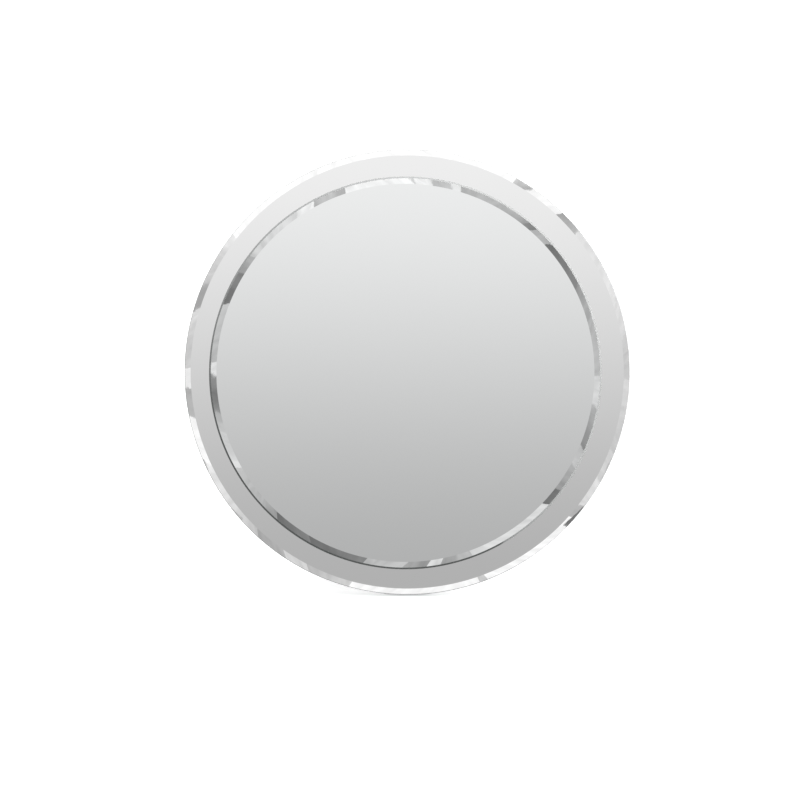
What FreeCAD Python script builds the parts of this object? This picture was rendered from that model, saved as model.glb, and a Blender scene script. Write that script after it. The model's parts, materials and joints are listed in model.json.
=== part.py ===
import FreeCAD, Part
import math
import os
import Sketcher

# A round countertop mirror: a small bevelled mirror disc bonded on a larger one, on an easel back.
#
# The glass leans back and stands on a rubber foot under the backing board and on a hinged strut.
# The strut's mitred top meets the fixed hinge leaf and so sets how far it opens; it folds flat
# against the back.
#
# Each piece is drawn lying on its back: x to the right, y up the mirror, z out of the glass, which
# is towards the viewer. Pieces on the mirror have their origin at the rear disc's centre, on its
# silvered side, or are placed from there. Pieces on the strut have theirs on the hinge pin, with y
# up the strut. The placements then stand everything up on the counter, +Z up, facing -Y.

SIZES = [
    ("lean", 12, "degrees that the glass leans back"),
    ("spread", 13, "degrees between the open strut and a plumb line"),
    ("rim_clearance", 1.0, "gap between the glass rim and the counter"),
    ("rear_radius", 200, "rear disc"),
    ("front_radius", 176, "front disc"),
    ("front_shift_right", -1.6, "the front disc is bonded a little off centre"),
    ("front_shift_up", -0.9, "the front disc is bonded a little low"),
    ("glass", 5, "thickness of both discs"),
    ("bevel_width", 5.2, "width of the ground and polished bevel, seen from the front"),
    ("rear_bevel_drop", 1.2, "glass taken off at the outer edge of the rear disc's bevel"),
    ("front_bevel_drop", 1.6, "glass taken off at the outer edge of the front disc's bevel"),
    ("rear_arris", 0.4, "seamed edge of the rear disc"),
    ("front_arris", 1.6, "seamed edge of the front disc"),
    ("back_arris", 0.4, "seamed edge at the back of both discs"),
    ("coat", 0.1, "thickness of the silvering, and of the paint on it"),
    ("coat_inset", 0.6, "how far the coats stop short of the glass edge"),
    ("film", 0.3, "thickness of the safety film"),
    ("film_inset", 1.5, "how far the film stops short of the glass edge"),
    ("bond", 1.5, "thickness of the foam pads between the discs"),
    ("bond_count", 6, "foam pads between the discs"),
    ("bond_circle", 118, "distance of the foam pads from the centre"),
    ("bond_width", 24, "width of a foam pad"),
    ("bond_length", 50, "length of a foam pad"),
    ("tape", 2.0, "thickness of the tape and adhesive under the board"),
    ("tape_width", 19, "width of a tape strip"),
    ("tape_length", 240, "length of a tape strip"),
    ("tape_from_middle", 62, "distance of a tape strip from the middle"),
    ("dab_radius", 24, "pressed adhesive dab"),
    ("dab_circle", 125, "distance of the outer dabs from the centre"),
    ("board_radius", 188, "backing board"),
    ("board", 10, "thickness of the backing board"),
    ("board_chamfer", 1.5, "chamfer round the board's back edge"),
    ("felt", 0.8, "thickness of the felt"),
    ("felt_inset", 2.5, "how far the felt stops short of the board's edge"),
    ("hinge_up", 55, "height of the hinge pin above the centre"),
    ("leaf", 1.5, "thickness of both hinge leaves"),
    ("pin_radius", 1.5, "hinge pin"),
    ("pin_head_radius", 2.6, "head of the hinge pin"),
    ("pin_head_up", 1.2, "height of the pin's head"),
    ("pin_head_edge", 0.5, "bevelled edge of the pin's head"),
    ("pin_peen_radius", 2.2, "peened end of the hinge pin"),
    ("pin_peen_up", 0.8, "height of the peened end"),
    ("pin_peen_edge", 0.4, "how far the peened end tapers"),
    ("pin_clearance", 0.05, "running clearance of the strut's knuckle on the pin"),
    ("knuckle_radius", 3.0, "outside of the hinge knuckles"),
    ("knuckle_gap", 0.3, "gap between the moving knuckle and the felt"),
    ("barrel_half", 20, "half the length of the hinge barrel"),
    ("tongue_half", 10.5, "half the length of the strut's knuckle"),
    ("side_play", 0.4, "gap at each side of the strut's knuckle"),
    ("notch", 4.2, "how far a leaf stops short of the other leaf's knuckle"),
    ("fixed_leaf_half", 30, "half the width of the fixed leaf"),
    ("fixed_leaf_up", 54, "height of the fixed leaf above the pin"),
    ("shoulder_low", 6, "where the fixed leaf starts to widen"),
    ("shoulder_high", 18, "where the fixed leaf has its full width"),
    ("leaf_corner", 4, "corner radius of the leaves"),
    ("screw_across", 21, "hinge screws, distance from the middle"),
    ("screw_low", 31, "lower hinge screws, height above the pin"),
    ("screw_high", 46, "upper hinge screws, height above the pin"),
    ("sink", 1.3, "depth of the conical seats, which slope at 45 degrees"),
    ("screw_shank", 1.9, "radius of a hinge screw's shank"),
    ("screw_length", 9, "length of a hinge screw"),
    ("screw_tip", 2, "length of a screw's point"),
    ("recess_half", 2.1, "half the span of the cross recess"),
    ("recess_slot_half", 0.45, "half the width of one slot of the recess"),
    ("recess_deep", 1.1, "depth of the recess"),
    ("strut_leaf_down", 60, "length of the strut's leaf below the pin"),
    ("rivet_across", 12, "rivets, distance from the middle"),
    ("rivet_high", 20, "upper rivets, distance below the pin"),
    ("rivet_low", 46, "lower rivets, distance below the pin"),
    ("rivet_shank", 2.0, "radius of a rivet's shank"),
    ("rivet_head", 3.8, "radius of a rivet's head"),
    ("rivet_head_up", 1.9, "height of a rivet's head"),
    ("rivet_head_round", 1.5, "rounding of a rivet's head"),
    ("rivet_tail", 3.2, "radius of a rivet's set end"),
    ("rivet_tail_up", 1.2, "height of a rivet's set end"),
    ("washer_radius", 5.5, "rivet washer"),
    ("washer", 0.8, "thickness of a rivet washer"),
    ("strut", 6, "thickness of the strut board"),
    ("strut_top_half", 23, "half the strut's width at the hinge"),
    ("strut_foot_half", 42, "half the strut's width at its foot"),
    ("taper_from", -34, "where the strut starts to widen"),
    ("taper_to", -228, "where the strut has its full width"),
    ("stop_gap", 0.15, "gap between the mitred top and the fixed leaf when open"),
    ("relief", 0.7, "depth of the groove that clears the knuckles"),
    ("relief_half", 4.6, "half the width of that groove"),
    ("strut_felt_inset", 1.5, "how far the felt stops short of the strut's edge"),
    ("strut_felt_end", -234, "lower end of the strut's felt"),
    ("shoe_top", -237, "upper edge of the rubber shoe"),
    ("shoe_wall", 2, "wall of the rubber shoe"),
    ("shoe_sole", 3, "thickness of the shoe under the strut"),
    ("shoe_round", 1.2, "rounding of the shoe's edges"),
    ("bumper_radius", 6, "folding bumper"),
    ("bumper_up", 6, "height of the folding bumper"),
    ("bumper_down", -205, "place of the folding bumper on the strut"),
    ("bumper_round", 1.2, "rounding of the folding bumper"),
    ("foot_half", 20, "half the width of the front foot"),
    ("foot_top", -186, "top of the front foot, inside the board's curve"),
    ("foot_front", 3, "depth of the front foot's face behind the glass"),
    ("foot_tread", 6, "depth at which the front foot meets the counter"),
    ("foot_relief", 2.5, "height of the slope in front of the tread"),
    ("foot_round", 2.5, "rounding of the front foot's corners"),
    ("foot_screw_across", 11, "foot screws, distance from the middle"),
    ("foot_screw_deep", 7.75, "foot screws, depth behind the glass"),
    ("foot_screw_seat", -193, "where the heads of the foot screws sit"),
    ("foot_screw_head", 3.0, "radius of a foot screw's head"),
    ("foot_screw_head_up", 2.2, "height of a foot screw's head"),
    ("foot_screw_head_round", 1.1, "rounding of a foot screw's head"),
    ("foot_screw_shank", 1.6, "radius of a foot screw's shank"),
    ("foot_screw_length", 18, "length of a foot screw under its head"),
    ("foot_bore", 3.3, "radius of the holes that the heads sit in"),
    ("through", 200, "length of a cut that goes right through a piece"),
    ("overcut", 1, "how far a recess is cut past the face it opens in"),
]
SAME = 1e-3  # places nearer to each other than this are the same place
NEAR = 1.0  # edges this near to a face belong to its end of the piece

doc = FreeCAD.newDocument("countertop_mirror")
sheet = doc.addObject("Spreadsheet::Sheet", "Sizes")
for row, (alias, value, note) in enumerate(SIZES, start=1):
    sheet.set("A%d" % row, str(value))
    sheet.setAlias("A%d" % row, alias)
    sheet.set("B%d" % row, note)
doc.recompute()


def size(alias):
    """The number in a cell of the sheet."""
    return float(sheet.get(alias))


# Expressions that several sketches share. A depth is how far something lies behind the back of the
# rear disc, a level is a z in the piece's own drawing.
LEAN = "Sizes.lean * 1 deg"
SPREAD = "Sizes.spread * 1 deg"
OPENING = "(Sizes.lean + Sizes.spread) * 1 deg"
COATS = "(2 * Sizes.coat + Sizes.film)"
PIN_DEPTH = (
    f"({COATS} + Sizes.tape + Sizes.board + Sizes.felt + Sizes.knuckle_gap + Sizes.knuckle_radius)"
)
PIN_HEIGHT = (
    f"((Sizes.rear_radius + Sizes.hinge_up) * cos({LEAN}) - {PIN_DEPTH} * sin({LEAN})"
    " + Sizes.rim_clearance)"
)
LEAF_FACE = "(Sizes.knuckle_radius + Sizes.knuckle_gap - Sizes.leaf)"
STRUT_INNER = "(-Sizes.knuckle_radius)"
STRUT_OUTER = "(-Sizes.knuckle_radius - Sizes.strut)"


def counter_at_depth(depth):
    """How far up the mirror the counter is met at this depth; negative, as it is below the centre."""
    return f"-(Sizes.rear_radius + (Sizes.rim_clearance - ({depth}) * sin({LEAN})) / cos({LEAN}))"


def counter_at_level(level, sole="0"):
    """How far along the open strut a line is met that lies this sole above the counter."""
    return f"-({PIN_HEIGHT} - ({sole}) - ({level}) * sin({SPREAD})) / cos({SPREAD})"


def stop_at_level(level):
    """How far above the pin the open strut meets the fixed leaf."""
    return f"(({LEAF_FACE} - Sizes.stop_gap) - ({level}) * cos({OPENING})) / sin({OPENING})"


# ---- drawing helpers


def new_body(label):
    body = doc.addObject("PartDesign::Body", label)
    body.AllowCompound = True
    return body


def origin_plane(body, role):
    return next(item for item in body.Origin.OriginFeatures if item.Role == role)


def new_sketch(body, plane, level="0"):
    """An empty sketch on one of the body's origin planes, moved along the plane's normal."""
    sketch = body.newObject("Sketcher::SketchObject", body.Name + "_sketch")
    sketch.AttachmentSupport = [(origin_plane(body, plane), "")]
    sketch.MapMode = "FlatFace"
    sketch.setExpression("AttachmentOffset.Base.z", level)
    return sketch


def place_point(sketch, line, expressions, start):
    """Ties a line's start point to two expressions."""
    for kind, expression, value in zip(("DistanceX", "DistanceY"), expressions, start):
        number = sketch.addConstraint(Sketcher.Constraint(kind, -1, 1, line, 1, value))
        sketch.setExpression("Constraints[%d]" % number, expression)


def outlines(body, plane, loops, level="0"):
    """Closed outlines of straight lines. Each corner is a pair of expressions."""
    sketch = new_sketch(body, plane, level)
    for loop in loops:
        first = sketch.GeometryCount
        turn = 2 * math.pi / len(loop)
        starts = [(10 * math.cos(i * turn), 10 * math.sin(i * turn)) for i in range(len(loop))]
        points = [FreeCAD.Vector(across, up, 0) for across, up in starts]
        for i, point in enumerate(points):
            sketch.addGeometry(Part.LineSegment(point, points[(i + 1) % len(points)]))
        for i, corner in enumerate(loop):
            following = first + (i + 1) % len(loop)
            sketch.addConstraint(Sketcher.Constraint("Coincident", first + i, 2, following, 1))
            place_point(sketch, first + i, corner, starts[i])
    return sketch


def circles(body, plane, rings, level="0"):
    """Circles, each given as expressions for its centre and radius."""
    sketch = new_sketch(body, plane, level)
    for across, up, radius in rings:
        ring = sketch.addGeometry(
            Part.Circle(FreeCAD.Vector(1, 1, 0), FreeCAD.Vector(0, 0, 1), 10)
        )
        for kind, expression in (("DistanceX", across), ("DistanceY", up)):
            number = sketch.addConstraint(Sketcher.Constraint(kind, -1, 1, ring, 3, 1.0))
            sketch.setExpression("Constraints[%d]" % number, expression)
        number = sketch.addConstraint(Sketcher.Constraint("Radius", ring, 10.0))
        sketch.setExpression("Constraints[%d]" % number, radius)
    return sketch


def rectangle(left, right, low, high):
    return [(left, low), (right, low), (right, high), (left, high)]


def pad(body, sketch, length, symmetric=False):
    feature = body.newObject("PartDesign::Pad", body.Name + "_pad")
    feature.Profile = sketch
    feature.setExpression("Length", length)
    feature.SideType = "Symmetric" if symmetric else "One side"
    doc.recompute()
    return feature


def revolve(body, sketch):
    """Turns a profile, drawn on the XZ plane, about the piece's own z axis."""
    feature = body.newObject("PartDesign::Revolution", body.Name + "_turned")
    feature.Profile = sketch
    feature.ReferenceAxis = (sketch, ["V_Axis"])
    feature.Angle = 360
    doc.recompute()
    return feature


def pocket(body, sketch, length, away=False, symmetric=False):
    """Cuts against the sketch's normal, or along it with away. It must take something off."""
    before = body.Shape.Volume
    feature = body.newObject("PartDesign::Pocket", body.Name + "_pocket")
    feature.Profile = sketch
    feature.setExpression("Length", length)
    feature.Reversed = away
    feature.SideType = "Symmetric" if symmetric else "One side"
    doc.recompute()
    if body.Shape.Volume >= before:
        raise RuntimeError(f"{feature.Name} cuts nothing")
    return feature


def edges_where(shape, test):
    return ["Edge%d" % number for number, edge in enumerate(shape.Edges, start=1) if test(edge)]


def runs_along(axis):
    """A test for straight edges that lie along an axis: 0, 1 or 2 for x, y or z."""

    def test(edge):
        box = edge.BoundBox
        spans = (box.XLength, box.YLength, box.ZLength)
        return all(span < SAME for i, span in enumerate(spans) if i != axis)

    return test


def ring_at(level, radius):
    """A test for round edges of this radius in the plane at this level."""

    def test(edge):
        box = edge.BoundBox
        flat = box.ZLength < SAME and abs(box.ZMin - level) < SAME
        return flat and abs(box.XLength - 2 * radius) < SAME

    return test


def fillet(body, test, radius):
    base = body.Tip
    feature = body.newObject("PartDesign::Fillet", body.Name + "_fillet")
    feature.Base = (base, edges_where(base.Shape, test))
    feature.setExpression("Radius", radius)
    doc.recompute()
    return feature


def chamfer(body, test, width):
    base = body.Tip
    feature = body.newObject("PartDesign::Chamfer", body.Name + "_chamfer")
    feature.Base = (base, edges_where(base.Shape, test))
    feature.setExpression("Size", width)
    doc.recompute()
    return feature


def copies(label, piece, places):
    """A group of separate, equal solids: one body shown at several places."""
    links = []
    for number, place in enumerate(places, start=1):
        link = doc.addObject("App::Link", "%s_%d" % (label, number))
        link.LinkedObject = piece
        link.LinkTransform = True
        link.Placement = place
        links.append(link)
    group = doc.addObject("Part::Compound", label)
    group.Links = links
    doc.recompute()
    return group


def at(across=0.0, up=0.0, level=0.0, rotation=None):
    return FreeCAD.Placement(FreeCAD.Vector(across, up, level), rotation or FreeCAD.Rotation())


# ---- the two mirror discs


def glass_disc(which):
    """Float glass with a polished bevel on its front and seamed edges."""
    body = new_body(f"{which}_mirror_glass")
    radius, arris, drop = (f"Sizes.{which}_{name}" for name in ("radius", "arris", "bevel_drop"))
    land = f"{radius} - {arris}"
    low_bevel = f"Sizes.glass - {drop}"
    profile = [
        ("0", "0"),
        (f"{radius} - Sizes.back_arris", "0"),
        (radius, "Sizes.back_arris"),
        (radius, f"{low_bevel} - {arris}"),
        (land, low_bevel),
        (f"{land} - Sizes.bevel_width", "Sizes.glass"),
        ("0", "Sizes.glass"),
    ]
    revolve(body, outlines(body, "XZ_Plane", [profile]))
    return body


def disc(label, radius, thickness):
    body = new_body(label)
    pad(body, circles(body, "XY_Plane", [("0", "0", radius)]), thickness)
    return body


def bond_pads():
    """Foam pads on a circle, which hold the front disc off the rear one."""
    body = new_body("front_bond_pads")
    strip = rectangle(
        "Sizes.bond_circle - Sizes.bond_width / 2",
        "Sizes.bond_circle + Sizes.bond_width / 2",
        "-Sizes.bond_length / 2",
        "Sizes.bond_length / 2",
    )
    one = pad(body, outlines(body, "XY_Plane", [strip]), "Sizes.bond")
    ring = body.newObject("PartDesign::PolarPattern", "bond_ring")
    ring.Originals = [one]
    ring.Axis = (origin_plane(body, "Z_Axis"), [""])
    ring.Angle = 360
    ring.Occurrences = int(size("bond_count"))
    body.Tip = ring
    doc.recompute()
    return body


# ---- the back


def mounting_tape():
    """Two upright strips of foam tape, which hold the board while the adhesive sets."""
    body = new_body("mounting_tape_strips")
    near = "Sizes.tape_from_middle - Sizes.tape_width / 2"
    far = "Sizes.tape_from_middle + Sizes.tape_width / 2"
    ends = ("-Sizes.tape_length / 2", "Sizes.tape_length / 2")
    strips = [
        rectangle(near, far, *ends),
        rectangle(f"-({far})", f"-({near})", *ends),
    ]
    pad(body, outlines(body, "XY_Plane", strips), "Sizes.tape")
    return body


def adhesive_dabs():
    body = new_body("adhesive_dabs")
    centres = [("0", "0")]
    for sign in ("", "-"):
        centres.append((f"{sign}Sizes.dab_circle", "0"))
        centres.append(("0", f"{sign}Sizes.dab_circle"))
    dabs = [(across, up, "Sizes.dab_radius") for across, up in centres]
    pad(body, circles(body, "XY_Plane", dabs), "Sizes.tape")
    return body


def hinge_screw_places(radius, up="Sizes.hinge_up + "):
    """Circles at the four hinge screws, in a piece whose origin is at the disc's centre."""
    return [
        (f"{side}Sizes.screw_across", f"{up}{row}", radius)
        for side in ("", "-")
        for row in ("Sizes.screw_low", "Sizes.screw_high")
    ]


def backing_board():
    """A round board, bored for the hinge screws at its back and the foot screws at its edge."""
    body = new_body("backing_board")
    pad(body, circles(body, "XY_Plane", [("0", "0", "Sizes.board_radius")]), "Sizes.board")
    chamfer(body, ring_at(0, size("board_radius")), "Sizes.board_chamfer")
    hinge_holes = circles(body, "XY_Plane", hinge_screw_places("Sizes.screw_shank"))
    pocket(body, hinge_holes, "Sizes.screw_length - Sizes.leaf - Sizes.felt", away=True)
    level = f"{COATS} + Sizes.tape + Sizes.board - Sizes.foot_screw_deep"
    foot_holes = [
        (f"{side}Sizes.foot_screw_across", level, "Sizes.foot_screw_shank") for side in ("", "-")
    ]
    sketch = circles(body, "XZ_Plane", foot_holes, level="Sizes.board_radius")
    reach = "Sizes.board_radius + Sizes.foot_screw_seat + Sizes.foot_screw_length"
    pocket(body, sketch, reach)
    return body


def back_felt():
    body = new_body("back_felt")
    rim = [("0", "0", "Sizes.board_radius - Sizes.felt_inset")]
    pad(body, circles(body, "XY_Plane", rim), "Sizes.felt")
    pocket(
        body,
        circles(body, "XY_Plane", hinge_screw_places("Sizes.screw_shank")),
        "Sizes.felt",
        away=True,
    )
    return body


def front_foot():
    """A rubber block that fits the board's lower edge; its tread lies flat on the counter."""
    body = new_body("front_foot")
    back = f"{COATS} + Sizes.tape + Sizes.board"
    profile = [
        ("Sizes.foot_top", "-Sizes.foot_front"),
        (f"{counter_at_depth('Sizes.foot_front')} + Sizes.foot_relief", "-Sizes.foot_front"),
        (counter_at_depth("Sizes.foot_tread"), "-Sizes.foot_tread"),
        (counter_at_depth(back), f"-({back})"),
        ("Sizes.foot_top", f"-({back})"),
    ]
    pad(body, outlines(body, "YZ_Plane", [profile]), "2 * Sizes.foot_half", symmetric=True)
    fillet(body, runs_along(1), "Sizes.foot_round")
    board = circles(body, "XY_Plane", [("0", "0", "Sizes.board_radius")])
    pocket(body, board, "Sizes.through", symmetric=True)
    for radius, away in (("Sizes.foot_bore", True), ("Sizes.foot_screw_shank", False)):
        holes = [
            (f"{side}Sizes.foot_screw_across", "-Sizes.foot_screw_deep", radius)
            for side in ("", "-")
        ]
        sketch = circles(body, "XZ_Plane", holes, level="-Sizes.foot_screw_seat")
        pocket(body, sketch, "Sizes.foot_screw_length", away=away)
    return body


def cross_recess(body):
    """Cuts a cross recess into a head whose top is at level 0, with the shank above it."""
    wide, thin = "Sizes.recess_half", "Sizes.recess_slot_half"
    quarter = [(wide, thin), (thin, thin), (thin, wide)]
    corners = []
    for flip_across, flip_up in (("", ""), ("-", ""), ("-", "-"), ("", "-")):
        part = [(flip_across + across, flip_up + up) for across, up in quarter]
        corners += part if flip_across == flip_up else part[::-1]
    pocket(body, outlines(body, "XY_Plane", [corners]), "Sizes.recess_deep", away=True)


def hinge_screw():
    """A countersunk wood screw: its head's face at level 0, its point upwards."""
    body = new_body("hinge_screw")
    profile = [
        ("0", "0"),
        ("Sizes.screw_shank + Sizes.sink", "0"),
        ("Sizes.screw_shank", "Sizes.sink"),
        ("Sizes.screw_shank", "Sizes.screw_length - Sizes.screw_tip"),
        ("0", "Sizes.screw_length"),
    ]
    revolve(body, outlines(body, "XZ_Plane", [profile]))
    cross_recess(body)
    return body


def foot_screw():
    """A pan-head wood screw: its head's top at level 0, its point upwards."""
    body = new_body("foot_screw")
    end = "Sizes.foot_screw_head_up + Sizes.foot_screw_length"
    profile = [
        ("0", "0"),
        ("Sizes.foot_screw_head", "0"),
        ("Sizes.foot_screw_head", "Sizes.foot_screw_head_up"),
        ("Sizes.foot_screw_shank", "Sizes.foot_screw_head_up"),
        ("Sizes.foot_screw_shank", f"{end} - Sizes.screw_tip"),
        ("0", end),
    ]
    revolve(body, outlines(body, "XZ_Plane", [profile]))
    fillet(body, ring_at(0, size("foot_screw_head")), "Sizes.foot_screw_head_round")
    cross_recess(body)
    return body


# ---- the hinge; its pieces have their origin on the pin's axis


def hinge_fixed_leaf():
    """The leaf on the board, with a knuckle at each end of the barrel."""
    body = new_body("hinge_fixed_leaf")
    gap = "(Sizes.tongue_half + Sizes.side_play)"
    right = [
        (gap, "Sizes.notch"),
        (gap, "0"),
        ("Sizes.barrel_half", "0"),
        ("Sizes.barrel_half", "Sizes.shoulder_low"),
        ("Sizes.fixed_leaf_half", "Sizes.shoulder_high"),
        ("Sizes.fixed_leaf_half", "Sizes.fixed_leaf_up"),
    ]
    left = [("-" + across, up) for across, up in reversed(right)]
    pad(body, outlines(body, "XY_Plane", [right + left], level=LEAF_FACE), "Sizes.leaf")

    def outer_corner(edge):
        return runs_along(2)(edge) and abs(edge.BoundBox.Center.x) > size("fixed_leaf_half") - NEAR

    fillet(body, outer_corner, "Sizes.leaf_corner")
    ring = circles(body, "YZ_Plane", [("0", "0", "Sizes.knuckle_radius")], level=gap)
    one = pad(body, ring, f"Sizes.barrel_half - {gap}")
    both = body.newObject("PartDesign::Mirrored", "knuckle_pair")
    both.Originals = [one]
    both.MirrorPlane = (origin_plane(body, "YZ_Plane"), [""])
    body.Tip = both
    doc.recompute()
    bore = circles(body, "YZ_Plane", [("0", "0", "Sizes.pin_radius")])
    pocket(body, bore, "Sizes.through", symmetric=True)
    countersink(body)
    return body


def countersink(body):
    """Conical seats for the hinge screws: holes through the leaf, opened out at its back."""
    holes = circles(
        body, "XY_Plane", hinge_screw_places("Sizes.screw_shank", up=""), level=LEAF_FACE
    )
    pocket(body, holes, "Sizes.leaf", away=True)
    leaf_face = size("knuckle_radius") + size("knuckle_gap") - size("leaf")
    chamfer(body, ring_at(leaf_face, size("screw_shank")), "Sizes.sink")


def hinge_pin():
    """A plain pin, headed at one end and peened over at the other."""
    body = new_body("hinge_pin")
    head, peen = "Sizes.pin_head_radius", "Sizes.pin_peen_radius"
    end = "Sizes.barrel_half"
    head_top = f"-{end} - Sizes.pin_head_up"
    peen_top = f"{end} + Sizes.pin_peen_up"
    profile = [
        ("0", head_top),
        (f"{head} - Sizes.pin_head_edge", head_top),
        (head, f"{head_top} + Sizes.pin_head_edge"),
        (head, f"-{end}"),
        ("Sizes.pin_radius", f"-{end}"),
        ("Sizes.pin_radius", end),
        (peen, end),
        (f"{peen} - Sizes.pin_peen_edge", peen_top),
        ("0", peen_top),
    ]
    revolve(body, outlines(body, "XZ_Plane", [profile]))
    return body


def rivet_places(radius):
    return [
        (f"{side}Sizes.rivet_across", f"-{row}", radius)
        for side in ("", "-")
        for row in ("Sizes.rivet_high", "Sizes.rivet_low")
    ]


def rivet_holes(body, level, depth):
    holes = circles(body, "XY_Plane", rivet_places("Sizes.rivet_shank"), level=level)
    pocket(body, holes, depth, away=True)


def hinge_strut_leaf():
    """The leaf riveted to the strut, with the barrel's middle knuckle."""
    body = new_body("hinge_strut_leaf")
    right = [
        ("Sizes.barrel_half", "-Sizes.strut_leaf_down"),
        ("Sizes.barrel_half", "-Sizes.notch"),
        ("Sizes.tongue_half", "-Sizes.notch"),
        ("Sizes.tongue_half", "0"),
    ]
    left = [("-" + across, up) for across, up in reversed(right)]
    pad(body, outlines(body, "XY_Plane", [right + left], level=STRUT_INNER), "Sizes.leaf")

    def lower_corner(edge):
        return runs_along(2)(edge) and edge.BoundBox.YMax < NEAR - size("strut_leaf_down")

    fillet(body, lower_corner, "Sizes.leaf_corner")
    ring = circles(body, "YZ_Plane", [("0", "0", "Sizes.knuckle_radius")])
    pad(body, ring, "2 * Sizes.tongue_half", symmetric=True)
    bore = circles(body, "YZ_Plane", [("0", "0", "Sizes.pin_radius + Sizes.pin_clearance")])
    pocket(body, bore, "Sizes.through", symmetric=True)
    rivet_holes(body, STRUT_INNER, "Sizes.leaf")
    return body


# ---- the strut


def strut_outline(inset, top, bottom):
    """Half of the strut's front view on each side: narrow at the hinge, wide at the foot."""
    right = [
        (f"Sizes.strut_foot_half - {inset}", bottom),
        (f"Sizes.strut_foot_half - {inset}", "Sizes.taper_to"),
        (f"Sizes.strut_top_half - {inset}", "Sizes.taper_from"),
        (f"Sizes.strut_top_half - {inset}", top),
    ]
    left = [(f"-({across})", up) for across, up in reversed(right)]
    return right + left


def strut_board():
    """A tapered board: top mitred to meet the fixed leaf, foot cut level, grooved for the hinge."""
    body = new_body("strut_board")
    top = stop_at_level(STRUT_OUTER)
    sole = "Sizes.shoe_sole"
    bottom = counter_at_level(STRUT_OUTER, sole)
    pad(
        body,
        outlines(body, "XY_Plane", [strut_outline("0", top, bottom)], level=STRUT_OUTER),
        "Sizes.strut",
    )
    inner_top = stop_at_level(STRUT_INNER)
    inner_bottom = counter_at_level(STRUT_INNER, sole)
    mitre = [(inner_top, STRUT_INNER), (top, STRUT_OUTER), (top, STRUT_INNER)]
    level_cut = [(inner_bottom, STRUT_INNER), (bottom, STRUT_OUTER), (bottom, STRUT_INNER)]
    groove = rectangle(
        "-Sizes.relief_half", "Sizes.relief_half", f"{STRUT_INNER} - Sizes.relief", STRUT_INNER
    )
    cuts = outlines(body, "YZ_Plane", [mitre, level_cut, groove])
    pocket(body, cuts, "Sizes.through", symmetric=True)
    rivet_holes(body, STRUT_OUTER, "Sizes.strut")
    return body


def strut_felt():
    body = new_body("strut_felt")
    top = f"{stop_at_level(STRUT_OUTER)} - Sizes.strut_felt_inset"
    shape = strut_outline("Sizes.strut_felt_inset", top, "Sizes.strut_felt_end")
    level = f"{STRUT_OUTER} - Sizes.felt"
    pad(body, outlines(body, "XY_Plane", [shape], level=level), "Sizes.felt")
    rivet_holes(body, level, "Sizes.felt")
    return body


def rivet():
    """A rivet from the felt side of the strut to the leaf, with its set end on the leaf."""
    body = new_body("rivet")
    under_head = f"{STRUT_OUTER} - Sizes.felt - Sizes.washer"
    leaf_back = f"{STRUT_INNER} + Sizes.leaf"
    profile = [
        ("0", f"{under_head} - Sizes.rivet_head_up"),
        ("Sizes.rivet_head", f"{under_head} - Sizes.rivet_head_up"),
        ("Sizes.rivet_head", under_head),
        ("Sizes.rivet_shank", under_head),
        ("Sizes.rivet_shank", leaf_back),
        ("Sizes.rivet_tail", leaf_back),
        ("Sizes.rivet_shank", f"{leaf_back} + Sizes.rivet_tail_up"),
        ("0", f"{leaf_back} + Sizes.rivet_tail_up"),
    ]
    revolve(body, outlines(body, "XZ_Plane", [profile]))
    top = -sum(size(name) for name in ("knuckle_radius", "strut", "felt", "washer", "rivet_head_up"))
    fillet(body, ring_at(top, size("rivet_head")), "Sizes.rivet_head_round")
    return body


def rivet_washers():
    body = new_body("rivet_washers")
    level = f"{STRUT_OUTER} - Sizes.felt - Sizes.washer"
    pad(
        body,
        circles(body, "XY_Plane", rivet_places("Sizes.washer_radius"), level=level),
        "Sizes.washer",
    )
    rivet_holes(body, level, "Sizes.washer")
    return body


def strut_shoe():
    """A moulded rubber cap over the strut's foot, with a sole that lies flat when it is open."""
    body = new_body("strut_shoe")
    front = f"{STRUT_INNER} + Sizes.shoe_wall"
    back = f"{STRUT_OUTER} - Sizes.shoe_wall"
    outside = [
        ("Sizes.shoe_top", front),
        (counter_at_level(front), front),
        (counter_at_level(back), back),
        ("Sizes.shoe_top", back),
    ]
    width = "2 * (Sizes.strut_foot_half + Sizes.shoe_wall)"
    pad(body, outlines(body, "YZ_Plane", [outside]), width, symmetric=True)

    def rounded(edge):
        return runs_along(1)(edge) or (
            runs_along(0)(edge) and edge.BoundBox.YMax < size("shoe_top") - NEAR
        )

    fillet(body, rounded, "Sizes.shoe_round")
    inside = [
        ("Sizes.shoe_top + Sizes.overcut", STRUT_INNER),
        (counter_at_level(STRUT_INNER, "Sizes.shoe_sole"), STRUT_INNER),
        (counter_at_level(STRUT_OUTER, "Sizes.shoe_sole"), STRUT_OUTER),
        ("Sizes.shoe_top + Sizes.overcut", STRUT_OUTER),
    ]
    pocket(
        body, outlines(body, "YZ_Plane", [inside]), "2 * Sizes.strut_foot_half", symmetric=True
    )
    return body


def strut_bumper():
    """A rubber dot on the strut that meets the felt when it is folded."""
    body = new_body("strut_bumper")
    dot = [("0", "Sizes.bumper_down", "Sizes.bumper_radius")]
    pad(body, circles(body, "XY_Plane", dot, level=STRUT_INNER), "Sizes.bumper_up")
    top = size("bumper_up") - size("knuckle_radius")
    fillet(body, ring_at(top, size("bumper_radius")), "Sizes.bumper_round")
    return body


# ---- the assembly


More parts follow.
